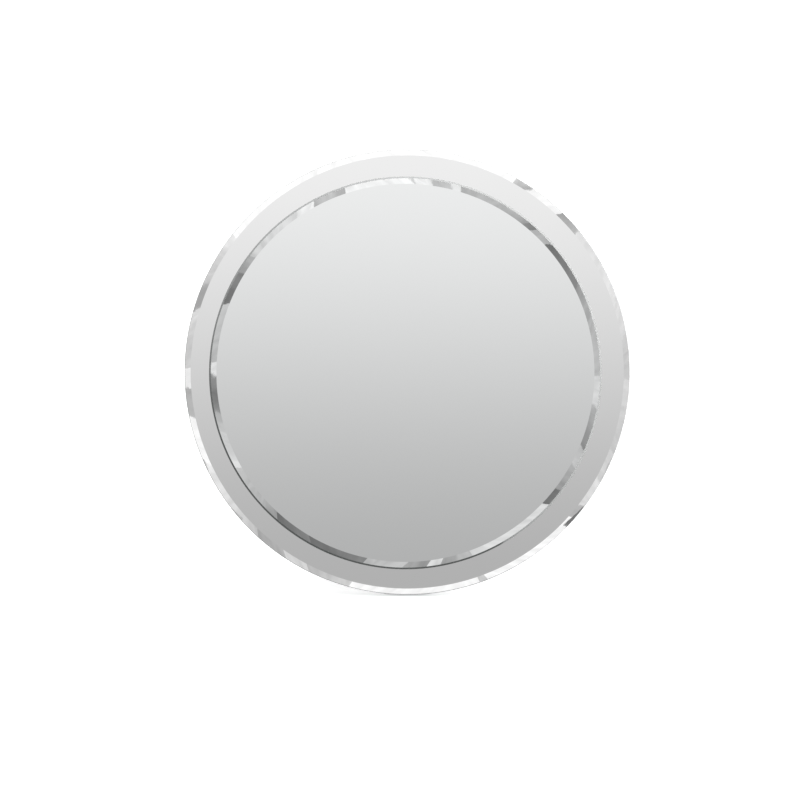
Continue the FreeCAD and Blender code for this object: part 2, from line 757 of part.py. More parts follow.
def mirror_pieces():
    """The pieces of the mirror with their places from the rear disc's centre."""
    coat, film, glass = size("coat"), size("film"), size("glass")
    back = 0.0
    placed = []

    def behind(piece, thickness):
        nonlocal back
        back -= thickness
        placed.append((piece, at(level=back)))

    placed.append((glass_disc("rear"), at()))
    coat_radius = "Sizes.rear_radius - Sizes.coat_inset"
    behind(disc("rear_mirror_silvering", coat_radius, "Sizes.coat"), coat)
    behind(disc("rear_backing_paint", coat_radius, "Sizes.coat"), coat)
    behind(disc("rear_safety_film", "Sizes.rear_radius - Sizes.film_inset", "Sizes.film"), film)
    placed.append((mounting_tape(), at(level=back - size("tape"))))
    behind(adhesive_dabs(), size("tape"))
    behind(backing_board(), size("board"))
    placed.append((front_foot(), at()))
    behind(back_felt(), size("felt"))

    right, up = size("front_shift_right"), size("front_shift_up")
    level = glass
    front_coat = "Sizes.front_radius - Sizes.coat_inset"
    for piece, thickness in (
        (bond_pads(), size("bond")),
        (disc("front_backing_paint", front_coat, "Sizes.coat"), coat),
        (disc("front_mirror_silvering", front_coat, "Sizes.coat"), coat),
        (glass_disc("front"), glass),
    ):
        placed.append((piece, at(right, up, level)))
        level += thickness

    pin = back - size("knuckle_gap") - size("knuckle_radius")
    hinge = at(up=size("hinge_up"), level=pin)
    placed.append((hinge_fixed_leaf(), hinge))
    across = FreeCAD.Rotation(FreeCAD.Vector(0, 1, 0), 90)
    placed.append((hinge_pin(), hinge.multiply(at(rotation=across))))
    screws = [
        at(side * size("screw_across"), size("hinge_up") + size(row), back - size("leaf"))
        for side in (1, -1)
        for row in ("screw_low", "screw_high")
    ]
    placed.append((copies("hinge_screws", hinge_screw(), screws), at()))
    upward = FreeCAD.Rotation(FreeCAD.Vector(1, 0, 0), -90)
    seat = size("foot_screw_seat") - size("foot_screw_head_up")
    foot_screws = [
        at(side * size("foot_screw_across"), seat, -size("foot_screw_deep"), upward)
        for side in (1, -1)
    ]
    placed.append((copies("front_foot_screws", foot_screw(), foot_screws), at()))
    return placed, hinge


def strut_pieces():
    rivets = [
        at(side * size("rivet_across"), -size(row))
        for side in (1, -1)
        for row in ("rivet_high", "rivet_low")
    ]
    return [
        hinge_strut_leaf(),
        strut_board(),
        strut_felt(),
        copies("strut_rivets", rivet(), rivets),
        rivet_washers(),
        strut_shoe(),
        strut_bumper(),
    ]


def about_x(degrees):
    return FreeCAD.Placement(
        FreeCAD.Vector(), FreeCAD.Rotation(FreeCAD.Vector(1, 0, 0), degrees)
    )


def stand_up():
    """Places every piece and centres the whole on the origin, with its feet on the counter."""
    upright = about_x(90 - size("lean"))
    placed, hinge = mirror_pieces()
    opened = upright.multiply(hinge).multiply(about_x(size("lean") + size("spread")))
    pieces = []
    for piece, place in placed:
        piece.Placement = upright.multiply(place)
        pieces.append(piece)
    for piece in strut_pieces():
        piece.Placement = opened
        pieces.append(piece)
    doc.recompute()
    box = FreeCAD.BoundBox()
    for piece in pieces:
        box.add(piece.Shape.optimalBoundingBox(False, False))
    shift = FreeCAD.Vector(-box.Center.x, -box.Center.y, -box.ZMin)
    for piece in pieces:
        piece.Placement = FreeCAD.Placement(shift, FreeCAD.Rotation()).multiply(piece.Placement)
    doc.recompute()
    return pieces


def check(pieces):
    for item in doc.Objects:
        if {"Invalid", "Error"} & set(item.State):
            raise RuntimeError(f"{item.Name} failed: {item.State}")
    for piece in pieces:
        if piece.Shape.isNull() or not piece.Shape.isValid() or not piece.Shape.Solids:
            raise RuntimeError(f"{piece.Label} has no valid solid")


def export(pieces):
    os.makedirs("parts", exist_ok=True)
    for piece in pieces:
        piece.Shape.exportStep(f"parts/{piece.Label}.step")
        print(f"{piece.Label}: {len(piece.Shape.Solids)} solids, {piece.Shape.Volume:.1f} mm3")


pieces = stand_up()
check(pieces)
export(pieces)
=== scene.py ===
import json
import math
import random

import bmesh
import bpy
from mathutils import Matrix, Vector, noise


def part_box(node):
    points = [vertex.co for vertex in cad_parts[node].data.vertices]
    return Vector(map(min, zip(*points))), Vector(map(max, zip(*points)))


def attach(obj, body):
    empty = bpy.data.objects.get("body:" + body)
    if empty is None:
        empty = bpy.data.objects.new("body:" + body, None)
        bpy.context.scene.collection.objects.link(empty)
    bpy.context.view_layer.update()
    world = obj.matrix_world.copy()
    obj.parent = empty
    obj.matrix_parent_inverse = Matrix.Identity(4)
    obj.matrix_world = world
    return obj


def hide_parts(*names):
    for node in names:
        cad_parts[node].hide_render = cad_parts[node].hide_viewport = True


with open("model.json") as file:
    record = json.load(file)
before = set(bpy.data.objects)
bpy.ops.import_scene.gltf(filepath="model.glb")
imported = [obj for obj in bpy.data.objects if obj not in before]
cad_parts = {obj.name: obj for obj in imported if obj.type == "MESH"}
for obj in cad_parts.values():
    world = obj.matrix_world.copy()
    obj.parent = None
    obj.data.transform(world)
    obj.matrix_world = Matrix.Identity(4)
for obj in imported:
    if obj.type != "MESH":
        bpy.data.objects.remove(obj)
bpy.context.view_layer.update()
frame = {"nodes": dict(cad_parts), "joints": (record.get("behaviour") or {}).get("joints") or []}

# A round countertop mirror on an easel back: two bevelled discs of silvered float glass, a lacquered
# board faced with felt, and a hinged strut. The discs, the round board, the felts and the fasteners
# are made here in the places of the CAD solids; the rest are the CAD solids with softened edges or
# better finishes.

MM = 0.001
LEAN = math.radians(12)  # how far the glass leans back
SPREAD = math.radians(13)  # how far the open strut leans the other way
SAME_POINT = 0.001 * MM  # corners of a CAD mesh this close are one


# ---- places, read from the frame


def leaning(angle, origin):
    """The frame of a board that leans back by an angle: x across, y up its face, z out of it."""
    up = Vector((0, math.sin(angle), math.cos(angle)))
    out = Vector((0, -math.cos(angle), math.sin(angle)))
    axes = Matrix((Vector((1, 0, 0)), up, out)).transposed().to_4x4()
    return Matrix.Translation(origin) @ axes


def corners(points):
    """The lowest and the highest corner of a group of points."""
    low = Vector([min(point[i] for point in points) for i in range(3)])
    high = Vector([max(point[i] for point in points) for i in range(3)])
    return low, high


def local_points(node, place):
    back = place.inverted()
    return [back @ vertex.co for vertex in frame["nodes"][node].data.vertices]


def reach(node, place):
    """The corners of a CAD node's box in a leaning frame."""
    return corners(local_points(node, place))


def middle(node):
    low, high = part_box(node)
    return (low + high) / 2


def solids(node, place):
    """The box corners of each separate solid of a CAD node, in a leaning frame."""
    shape = bmesh.new()
    shape.from_mesh(frame["nodes"][node].data)
    bmesh.ops.remove_doubles(shape, verts=shape.verts, dist=SAME_POINT)
    shape.transform(place.inverted())
    left = set(shape.verts)
    boxes = []
    while left:
        waiting = [left.pop()]
        group = []
        while waiting:
            vertex = waiting.pop()
            group.append(vertex.co.copy())
            for edge in vertex.link_edges:
                other = edge.other_vert(vertex)
                if other in left:
                    left.remove(other)
                    waiting.append(other)
        boxes.append(corners(group))
    shape.free()
    return sorted(boxes, key=lambda box: tuple(round(value, 5) for value in box[0]))


glass_back = middle("rear_mirror_silvering")
glass_back.x = 0
MIRROR = leaning(LEAN, glass_back)
STRUT = leaning(-SPREAD, Vector(frame["joints"][0]["pos_m"]))
REAR_RADIUS = reach("rear_mirror_glass", MIRROR)[1].x


# ---- nodes and materials


def linear(code):
    """A colour for a shader from its sRGB hex code."""
    channels = [int(code[i : i + 2], 16) / 255 for i in (1, 3, 5)]
    return [c / 12.92 if c <= 0.04045 else ((c + 0.055) / 1.055) ** 2.4 for c in channels] + [1.0]


def add(tree, kind, inputs=None, **settings):
    """A node with its settings. Each input is a value or another node's output."""
    node = tree.nodes.new(kind)
    for name, value in settings.items():
        setattr(node, name, value)
    for name, value in (inputs or {}).items():
        if isinstance(value, bpy.types.NodeSocket):
            tree.links.new(value, node.inputs[name])
        else:
            node.inputs[name].default_value = value
    return node


def surface(name, **values):
    """A material with its shader's plain settings: the material, its tree and its shader."""
    material = bpy.data.materials.new(name)
    material.use_nodes = True
    shader = material.node_tree.nodes["Principled BSDF"]
    for socket, value in values.items():
        shader.inputs[socket.replace("_", " ")].default_value = value
    return material, material.node_tree, shader


def every(millimetres):
    """The scale of a pattern on Object coordinates that repeats about this often."""
    return 1 / (millimetres * MM)


def grain(tree, millimetres, detail=2.0, stretch=(1, 1, 1)):
    """Noise in the object's own place, its patches this many millimetres across."""
    place = add(tree, "ShaderNodeTexCoord").outputs["Object"]
    turned = add(tree, "ShaderNodeMapping", {"Vector": place, "Scale": stretch})
    inputs = {"Vector": turned.outputs["Vector"], "Scale": every(millimetres), "Detail": detail}
    return add(tree, "ShaderNodeTexNoise", inputs).outputs["Fac"]


def spread_out(tree, value, low, high, start=0.35, end=0.65):
    """Takes the middle of a noise's range to the range from low to high."""
    inputs = {"Value": value, "From Min": start, "From Max": end, "To Min": low, "To Max": high}
    return add(tree, "ShaderNodeMapRange", inputs).outputs["Result"]


def mixed(tree, amount, first, second):
    inputs = {"Factor": amount, 6: linear(first), 7: linear(second)}
    return add(tree, "ShaderNodeMix", inputs, data_type="RGBA").outputs[2]


def wire(shader, socket, value):
    shader.id_data.links.new(value, shader.inputs[socket])


def raised(tree, shader, height, millimetres, strength=1.0):
    """Bump of this depth under the shader."""
    inputs = {"Height": height, "Distance": millimetres * MM, "Strength": strength}
    wire(shader, "Normal", add(tree, "ShaderNodeBump", inputs).outputs["Normal"])


def calc(tree, operation, *values):
    inputs = dict(enumerate(values))
    return add(tree, "ShaderNodeMath", inputs, operation=operation).outputs[0]


def silvered_glass(name, light, tint):
    """Silvered float glass: a clean mirror, with wiping marks too faint to see but in its gloss."""
    material, tree, shader = surface(name, Metallic=1.0)
    wire(shader, "Base Color", mixed(tree, grain(tree, 70, detail=3), light, tint))
    wire(shader, "Roughness", spread_out(tree, grain(tree, 45, stretch=(1, 1, 3)), 0.004, 0.012))
    return material


def polished_bevel(name, light, tint):
    """The ground and felt-polished bevel: as bright as the face, but a little uneven."""
    material, tree, shader = surface(name, Metallic=1.0)
    patches = grain(tree, 9, detail=3)
    wire(shader, "Base Color", mixed(tree, patches, light, tint))
    wire(shader, "Roughness", spread_out(tree, patches, 0.01, 0.05))
    raised(tree, shader, grain(tree, 6, detail=1), 0.012)
    return material


def ground_edge(name, pale, deep, roughness, marks_depth):
    """Ground float glass seen at its edge: green from the iron in it, matt, with wheel marks of a
    depth in millimetres."""
    material, tree, shader = surface(name, IOR=1.52)
    marks = grain(tree, 1.6, detail=3, stretch=(1, 1, 4))
    wire(shader, "Base Color", mixed(tree, marks, pale, deep))
    wire(shader, "Roughness", spread_out(tree, marks, *roughness))
    raised(tree, shader, marks, marks_depth)
    return material


def silver_coat():
    """Chemically laid silver from behind: bright at its bare edge but too thin to be even."""
    material, tree, shader = surface("silver_coat", Metallic=1.0)
    cloud = grain(tree, 12, detail=3)
    wire(shader, "Base Color", mixed(tree, cloud, "#DDDDDC", "#CFD0CF"))
    wire(shader, "Roughness", spread_out(tree, cloud, 0.15, 0.3))
    return material


def mirror_backing_paint():
    """Grey mirror-backing paint, poured on as a curtain and baked: eggshell, with long soft ripples."""
    material, tree, shader = surface("mirror_backing_paint", IOR=1.5)
    ripples = grain(tree, 14, stretch=(1, 1, 0.2))
    wire(shader, "Base Color", mixed(tree, ripples, "#A8ADB0", "#B4B8BA"))
    wire(shader, "Roughness", spread_out(tree, ripples, 0.42, 0.55))
    raised(tree, shader, grain(tree, 1.5), 0.01)
    return material


SCRIM_SPACING = 3.5 * MM


def scrim_film():
    """White polyethylene safety film over a net of threads, which stand out as a square grid."""
    material, tree, shader = surface("scrim_film", IOR=1.5)
    place = add(tree, "ShaderNodeTexCoord").outputs["Object"]
    flat = add(tree, "ShaderNodeMapping", {"Vector": place, "Rotation": (LEAN, 0, 0)}).outputs[0]
    axes = add(tree, "ShaderNodeSeparateXYZ", {0: flat}).outputs
    threads = []
    for name in ("X", "Z"):
        wave = calc(tree, "COSINE", calc(tree, "MULTIPLY", axes[name], math.pi / SCRIM_SPACING))
        threads.append(calc(tree, "POWER", calc(tree, "ABSOLUTE", wave), 14))
    net = calc(tree, "MAXIMUM", *threads)
    wire(shader, "Base Color", mixed(tree, net, "#D9DBDC", "#EEEFEF"))
    wire(shader, "Roughness", spread_out(tree, grain(tree, 3), 0.32, 0.45))
    raised(tree, shader, net, 0.12)
    return material


def closed_cell_foam():
    """White cross-linked polyethylene foam: matt, with half-millimetre cells cut open at its edges."""
    material, tree, shader = surface("closed_cell_foam", IOR=1.45)
    place = add(tree, "ShaderNodeTexCoord").outputs["Object"]
    cells = add(tree, "ShaderNodeTexVoronoi", {"Vector": place, "Scale": every(0.5)}).outputs[0]
    wire(shader, "Base Color", mixed(tree, cells, "#DCDCD8", "#EFEFEC"))
    wire(shader, "Roughness", spread_out(tree, cells, 0.75, 0.9, 0, 1))
    raised(tree, shader, cells, 0.1)
    return material


def mirror_mastic():
    """Neutral-cure mirror mastic, squeezed flat: cream, with the dull shine of cured silicone."""
    material, tree, shader = surface("mirror_mastic", IOR=1.42)
    lumps = grain(tree, 5)
    wire(shader, "Base Color", mixed(tree, lumps, "#D8D4C9", "#CCC8BC"))
    wire(shader, "Roughness", spread_out(tree, lumps, 0.38, 0.5))
    raised(tree, shader, lumps, 0.15)
    return material


def lacquered_board():
    """Fibreboard under sprayed satin black lacquer: a soft sheen broken by fine orange peel."""
    material, tree, shader = surface("lacquered_board", IOR=1.5)
    wire(shader, "Base Color", mixed(tree, grain(tree, 18, detail=4), "#323234", "#403F40"))
    wire(shader, "Roughness", spread_out(tree, grain(tree, 6), 0.34, 0.46))
    raised(tree, shader, grain(tree, 1.2, detail=1), 0.02)
    return material


def needle_felt():
    """Needle-punched polyester felt: charcoal fibres matted every way, with a soft bloom at its edge.
    The fibres are drawn 0.4 mm thick, some ten times too coarse, so that they show."""
    material, tree, shader = surface("needle_felt", Sheen_Weight=0.3, Sheen_Roughness=0.5)
    ways = [(7, 1, 1), (1, 1, 7), (3, 4, 4)]
    strands = [grain(tree, 2.8, detail=1, stretch=way) for way in ways]
    mat = calc(tree, "MAXIMUM", calc(tree, "MAXIMUM", strands[0], strands[1]), strands[2])
    fleck = spread_out(tree, mat, 0, 1, 0.5, 0.72)
    shade = calc(tree, "MULTIPLY_ADD", grain(tree, 22), 0.35, calc(tree, "MULTIPLY", fleck, 0.65))
    wire(shader, "Base Color", mixed(tree, shade, "#313236", "#5E6066"))
    wire(shader, "Roughness", spread_out(tree, fleck, 0.86, 0.98, 0, 1))
    raised(tree, shader, fleck, 0.2)
    return material


def zinc_plated_steel():
    """Rolled sheet steel, barrel-plated with bright zinc: cool grey, with faint rolling lines."""
    material, tree, shader = surface("zinc_plated_steel", Metallic=1.0)
    lines = grain(tree, 1.2, detail=2, stretch=(0.1, 1, 1))
    wire(shader, "Base Color", mixed(tree, grain(tree, 7), "#C6C9CC", "#D3D5D7"))
    wire(shader, "Roughness", spread_out(tree, lines, 0.3, 0.38))
    raised(tree, shader, lines, 0.003)
    return material


def screw_steel():
    """Cold-headed steel, its zinc passivated darker than the leaf's, with marks of the dies."""
    material, tree, shader = surface("screw_steel", Metallic=1.0)
    marks = grain(tree, 0.8)
    wire(shader, "Base Color", mixed(tree, marks, "#8E9196", "#A8ABAF"))
    wire(shader, "Roughness", spread_out(tree, marks, 0.2, 0.36))
    return material


def rivet_aluminium():
    """Soft aluminium, formed by the set: pale, with a slightly hammered head."""
    material, tree, shader = surface("rivet_aluminium", Metallic=1.0)
    marks = grain(tree, 1.1)
    wire(shader, "Base Color", mixed(tree, marks, "#DCDDDE", "#CBCCCE"))
    wire(shader, "Roughness", spread_out(tree, marks, 0.32, 0.46))
    raised(tree, shader, marks, 0.03)
    return material


def moulded_rubber():
    """Black rubber from a sparked mould: dull, with a fine even grain and a grey bloom."""
    material, tree, shader = surface("moulded_rubber", IOR=1.52)
    wire(shader, "Base Color", mixed(tree, grain(tree, 9, detail=4), "#38383A", "#474748"))
    pits = grain(tree, 0.5, detail=1)
    wire(shader, "Roughness", spread_out(tree, pits, 0.6, 0.78))
    raised(tree, shader, pits, 0.05)
    return material


# ---- geometry nodes


def new_tree(name, sockets):
    """An empty tree with named inputs: the tree, its inputs and its output."""
    tree = bpy.data.node_groups.new(name, "GeometryNodeTree")
    tree.interface.new_socket("Geometry", in_out="INPUT", socket_type="NodeSocketGeometry")
    for label, kind in sockets.items():
        tree.interface.new_socket(label, in_out="INPUT", socket_type="NodeSocket" + kind)
    tree.interface.new_socket("Geometry", in_out="OUTPUT", socket_type="NodeSocketGeometry")
    given = add(tree, "NodeGroupInput").outputs
    result = add(tree, "NodeGroupOutput").inputs["Geometry"]
    return tree, given, result


def keep(obj, name, place):
    """The worked-out shape of an object as a plain piece in its place."""
    seen = bpy.context.evaluated_depsgraph_get()
    mesh = bpy.data.meshes.new_from_object(obj.evaluated_get(seen), depsgraph=seen)
    bpy.data.objects.remove(obj)
    mesh.name = name
    mesh.transform(place)
    return linked(name, mesh)


def linked(name, data):
    obj = bpy.data.objects.new(name, data)
    bpy.context.scene.collection.objects.link(obj)
    return obj


def grown(name, start, tree, values, place):
    """A piece that a node tree makes from a starting mesh."""
    obj = linked(name + "_start", start)
    modifier = obj.modifiers.new(tree.name, "NODES")
    modifier.node_group = tree
    for item in tree.interface.items_tree:
        if item.in_out == "INPUT" and item.name in values:
            modifier[item.identifier] = values[item.name]
    obj.update_tag()
    return keep(obj, name, place)


def stored_value(tree, name, kind):
    """What a mesh stores under a name."""
    return add(tree, "GeometryNodeInputNamedAttribute", {"Name": name}, data_type=kind).outputs[0]


def store(tree, shape, name, value, kind, domain):
    inputs = {"Geometry": shape, "Name": name, "Value": value}
    settings = {"data_type": kind, "domain": domain}
    return add(tree, "GeometryNodeStoreNamedAttribute", inputs, **settings).outputs[0]


def at_point(tree, profile, index, value, kind):
    """A value as it is at one point of a profile."""
    inputs = {"Geometry": profile, "Value": value, "Index": index}
    return add(tree, "GeometryNodeSampleIndex", inputs, data_type=kind).outputs[0]


FINISHES = ["Finish 0", "Finish 1", "Finish 2", "Finish 3"]


def turned_tree():
    """Spins a profile about z. Its points hold the radius on x and the height on z, and as stored
    values "finish", the number of the finish that follows a point, and "ripple" and "thread", how
    much a point is moved by the ripple and by the thread."""
    sockets = {"Segments": "Int", "Sharp Degrees": "Float"}
    sockets.update({"Ripple": "Float", "Ripple Scale": "Float", "Pitch": "Float", "Thread": "Float"})
    sockets.update({name: "Material" for name in FINISHES})
    tree, given, result = new_tree("turned", sockets)
    profile = given["Geometry"]
    rows = add(tree, "GeometryNodeAttributeDomainSize", {"Geometry": profile}).outputs["Point Count"]
    columns = calc(tree, "ADD", given["Segments"], 1)
    grid = add(tree, "GeometryNodeMeshGrid", {"Vertices X": columns, "Vertices Y": rows}).outputs
    index = add(tree, "GeometryNodeInputIndex").outputs[0]
    inputs = {"Geometry": grid["Mesh"], "Position": spun_place(tree, given, rows, index)}
    shape = add(tree, "GeometryNodeSetPosition", inputs).outputs[0]
    shape = store(tree, shape, "UVMap", grid["UV Map"], "FLOAT2", "CORNER")
    face_row = calc(tree, "MODULO", index, calc(tree, "SUBTRACT", rows, 1))
    finish = at_point(tree, profile, face_row, stored_value(tree, "finish", "INT"), "INT")
    shape = store(tree, shape, "finish", finish, "INT", "FACE")
    inputs = {"Geometry": shape, "Distance": 0.01 * MM}
    shape = add(tree, "GeometryNodeMergeByDistance", inputs).outputs[0]
    shape = sharpened(tree, shape, given["Sharp Degrees"])
    shape = add(tree, "GeometryNodeRealizeInstances", {"Geometry": shape}).outputs[0]
    for number, name in enumerate(FINISHES):
        inputs = {2: stored_value(tree, "finish", "INT"), 3: number}
        settings = {"data_type": "INT", "operation": "EQUAL"}
        chosen = add(tree, "FunctionNodeCompare", inputs, **settings).outputs[0]
        inputs = {"Geometry": shape, "Selection": chosen, "Material": given[name]}
        shape = add(tree, "GeometryNodeSetMaterial", inputs).outputs[0]
    tree.links.new(shape, result)
    return tree


def spun_place(tree, given, rows, index):
    """Where a point of the grid goes: its row's place on the profile, turned by its column's share of
    the circle, with the ripple and the thread worked in."""
    row = calc(tree, "MODULO", index, rows)
    column = calc(tree, "FLOOR", calc(tree, "DIVIDE", index, rows))
    share = calc(tree, "DIVIDE", column, given["Segments"])
    angle = calc(tree, "MULTIPLY", share, 2 * math.pi)
    across, along = calc(tree, "COSINE", angle), calc(tree, "SINE", angle)

    def on_profile(value, kind):
        return at_point(tree, given["Geometry"], row, value, kind)

    position = add(tree, "GeometryNodeInputPosition").outputs[0]
    point = add(tree, "ShaderNodeSeparateXYZ", {0: on_profile(position, "FLOAT_VECTOR")}).outputs
    ripple = on_profile(stored_value(tree, "ripple", "FLOAT"), "FLOAT")
    thread = on_profile(stored_value(tree, "thread", "FLOAT"), "FLOAT")

    circle = add(tree, "ShaderNodeCombineXYZ", {"X": across, "Y": along}).outputs[0]
    inputs = {"Vector": circle, "Scale": given["Ripple Scale"], "Detail": 1.0}
    wave = calc(tree, "SUBTRACT", add(tree, "ShaderNodeTexNoise", inputs).outputs[0], 0.5)
    height = calc(tree, "MULTIPLY_ADD", calc(tree, "MULTIPLY", wave, given["Ripple"]), ripple, point["Z"])

    turns = calc(tree, "SUBTRACT", calc(tree, "DIVIDE", point["Z"], given["Pitch"]), share)
    groove = calc(tree, "MULTIPLY", calc(tree, "PINGPONG", turns, 0.5), 2)
    cut = calc(tree, "MULTIPLY", calc(tree, "MULTIPLY", groove, given["Thread"]), thread)
    radius = calc(tree, "SUBTRACT", point["X"], cut)
    inputs = {
        "X": calc(tree, "MULTIPLY", radius, across),
        "Y": calc(tree, "MULTIPLY", radius, along),
        "Z": height,
    }
    return add(tree, "ShaderNodeCombineXYZ", inputs).outputs[0]


def sharpened(tree, shape, degrees):
    """Smooth shading that breaks at every edge sharper than this."""
    angle = add(tree, "GeometryNodeInputMeshEdgeAngle").outputs["Unsigned Angle"]
    sharp = calc(tree, "GREATER_THAN", angle, calc(tree, "RADIANS", degrees))
    smooth = add(tree, "GeometryNodeSetShadeSmooth", {"Geometry": shape, "Shade Smooth": True})
    inputs = {"Geometry": smooth.outputs[0], "Selection": sharp, "Shade Smooth": False}
    return add(tree, "GeometryNodeSetShadeSmooth", inputs, domain="EDGE").outputs[0]


TURNED = turned_tree()


def turned(name, points, place, finishes, stored=None, **values):
    """A piece spun from a row of (radius, height) points, each with what the tree wants stored."""
    mesh = bpy.data.meshes.new(name)
    mesh.from_pydata([(radius, 0, height) for radius, height in points], [], [])
    for label, numbers in (stored or {}).items():
        kind = "INT" if label == "finish" else "FLOAT"
        mesh.attributes.new(label, kind, "POINT").data.foreach_set("value", numbers)
    settings = {"Segments": 48, "Sharp Degrees": 30.0, "Pitch": 1.0}
    settings.update({label.replace("_", " "): value for label, value in values.items()})
    finishes = finishes * len(FINISHES) if len(finishes) == 1 else finishes
    settings.update(zip(FINISHES, finishes))
    return grown(name, mesh, TURNED, settings, place)


ARM_SHARE = 0.45  # a rounded corner takes no more of a side than this


def rounded(points, radius, steps=3):
    """The same row of points with its inner corners rounded off."""
    points = [Vector(point) for point in points]
    result = [points[0]]
    for before, corner, after in zip(points, points[1:], points[2:]):
        arms = [before - corner, after - corner]
        cut = min(radius, *(arm.length * ARM_SHARE for arm in arms))
        start, end = [corner + arm.normalized() * cut for arm in arms]
        for i in range(steps + 1):
            t = i / steps
            result.append(start * (1 - t) ** 2 + corner * (2 * t * (1 - t)) + end * t**2)
    return [tuple(point) for point in result + [points[-1]]]


def installed(piece, body, slot, *nodes):
    """Hides the CAD nodes that a piece stands for and hangs the piece on the body it moves with. The slot,
    what it is made of, is not used.
    """
    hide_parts(*nodes)
    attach(piece, body)


# ---- the two discs


def disc_profile(node):
    """The corners of a disc's section, from the middle of its back round to the middle of its face."""
    low, high = reach(node, MIRROR)
    centre = (low + high) / 2
    pairs = set()
    for point in local_points(node, MIRROR):
        radius = math.hypot(point.x - centre.x, point.y - centre.y)
        if radius > high.z - low.z:
            pairs.add((round(radius, 5), round(point.z, 5)))
    edge = sorted(pairs, key=lambda pair: (pair[1], pair[0]))
    return Vector((centre.x, centre.y, 0)), [(0, low.z)] + edge + [(0, high.z)]


SEGMENTS = 720
SEAM, BEVEL_START, BEVEL_END = 3, 4, 5  # where the arris and the bevel begin and end in a disc's profile
EDGE, ARRIS, BEVEL, FACE = range(4)
BEVEL_STEPS = 6
CROWN = 0.02 * MM  # polishing on felt leaves the bevel a little round across its width


def crowned(outer, inner):
    """Points across the bevel, from its outer edge to its inner one."""
    steps = [i / BEVEL_STEPS for i in range(BEVEL_STEPS + 1)]
    return [
        (
            outer[0] + (inner[0] - outer[0]) * step,
            outer[1] + (inner[1] - outer[1]) * step + 4 * CROWN * step * (1 - step),
        )
        for step in steps
    ]


def mirror_disc(which, light, tint, arris):
    """A disc of silvered glass with a rippled bevel, as grinding leaves it."""
    node = f"{which}_mirror_glass"
    centre, profile = disc_profile(node)
    bevel = crowned(profile[BEVEL_START], profile[BEVEL_END])
    rows = profile[:BEVEL_START] + bevel + profile[BEVEL_END + 1 :]
    finishes = [
        ground_edge(f"{which}_ground_edge", "#7D968D", "#647D74", roughness=(0.25, 0.38), marks_depth=0.02),
        # The arris colours come from the call: the rear's is the ground glass's own grey, the front's is
        # greyed darker as painted shade
        ground_edge(f"{which}_seamed_arris", *arris, roughness=(0.24, 0.28), marks_depth=0.003),
        polished_bevel(f"{which}_polished_bevel", light, tint),
        silvered_glass(f"{which}_silvered_glass", light, tint),
    ]
    stored = {
        "finish": [EDGE, EDGE, EDGE, ARRIS] + [BEVEL] * BEVEL_STEPS + [FACE, FACE],
        "ripple": [0.0] * 4 + [1 - i / BEVEL_STEPS for i in range(BEVEL_STEPS + 1)] + [0.0],
    }
    values = {"Segments": SEGMENTS, "Sharp_Degrees": 8.0, "Ripple": 0.09 * MM, "Ripple_Scale": 14.0}
    place = MIRROR @ Matrix.Translation(centre)
    piece = turned(f"{which}_mirror_disc", rows, place, finishes, stored, **values)
    installed(piece, "mirror", "mirror_glass", node)


mirror_disc("rear", "#F0F0F0", "#EFEFEF", ("#646766", "#5C5F5E"))
# The front arris is darker than the rear's: ground glass grey plus painted shade, which shows as a dark
# line at the disc's lower left, where the hoop does not light it
mirror_disc("front", "#EFF0F0", "#EEEFEF", ("#484B4A", "#424544"))


# ---- what is behind the glass

BOARD, FELT, RUBBER = lacquered_board(), needle_felt(), moulded_rubber()
ZINC, SCREW, RIVET = zinc_plated_steel(), screw_steel(), rivet_aluminium()
SILVER, PAINT, FOAM = silver_coat(), mirror_backing_paint(), closed_cell_foam()


def dressed(material, *nodes):
    """Gives CAD pieces that keep their own shape a better finish."""
    for node in nodes:
        for slot in frame["nodes"][node].material_slots:
            slot.material = material


dressed(SILVER, "rear_mirror_silvering", "front_mirror_silvering")
dressed(PAINT, "rear_backing_paint", "front_backing_paint")
dressed(scrim_film(), "rear_safety_film")
dressed(FOAM, "mounting_tape_strips", "front_bond_pads")
dressed(mirror_mastic(), "adhesive_dabs")
dressed(ZINC, "hinge_pin")
dressed(RUBBER, "strut_bumper")


def round_board():
    """The backing board: a turned disc with chamfers, their corners eased by sanding."""
    low, high = reach("backing_board", MIRROR)
    radius, chamfer = high.y, 1.5 * MM
    side = [
        (radius - chamfer, low.z),
        (radius, low.z + chamfer),
        (radius, high.z - chamfer),
        (radius - chamfer, high.z),
    ]
    rows = rounded([(0, low.z)] + side + [(0, high.z)], 0.5 * MM)
    piece = turned("round_board", rows, MIRROR, [BOARD], Segments=360, Sharp_Degrees=20.0)
    installed(piece, "mirror", "black_board", "backing_board")


NAP = 0.12 * MM  # how far the felt's face dips between its high spots


def dip(point):
    """How far the felt lies below its highest level at a point of its face."""
    slow = noise.noise(point * every(14))
    quick = noise.noise(point * every(4))
    return NAP * min(1, max(0, 0.5 + 0.45 * slow + 0.3 * quick))


def napped(piece, place, level):
    """Lets the felt's outer face, at this height in its frame, dip unevenly inwards."""
    back, out = place.inverted(), place.to_3x3() @ Vector((0, 0, 1))
    for vertex in piece.data.vertices:
        point = back @ vertex.co
        if point.z < level + 0.25 * MM:
            vertex.co += out * dip(point)


def round_felt():
    """Felt glued all over the board, cut as a disc, its edge rolled over by the knife."""
    low, high = reach("back_felt", MIRROR)
    radius = high.y
    spacing = 3 * MM
    face = [(i * spacing, low.z) for i in range(int(radius / spacing))]
    rows = rounded([(radius - 2 * MM, low.z), (radius, low.z), (radius, high.z), (0, high.z)], 0.35 * MM)
    piece = turned("round_felt", face + rows, MIRROR, [FELT], Segments=360)
    napped(piece, MIRROR, low.z)
    installed(piece, "mirror", "felt", "back_felt")


round_board()
round_felt()


# ---- plates, boards and mouldings: the CAD shapes with their hard edges eased


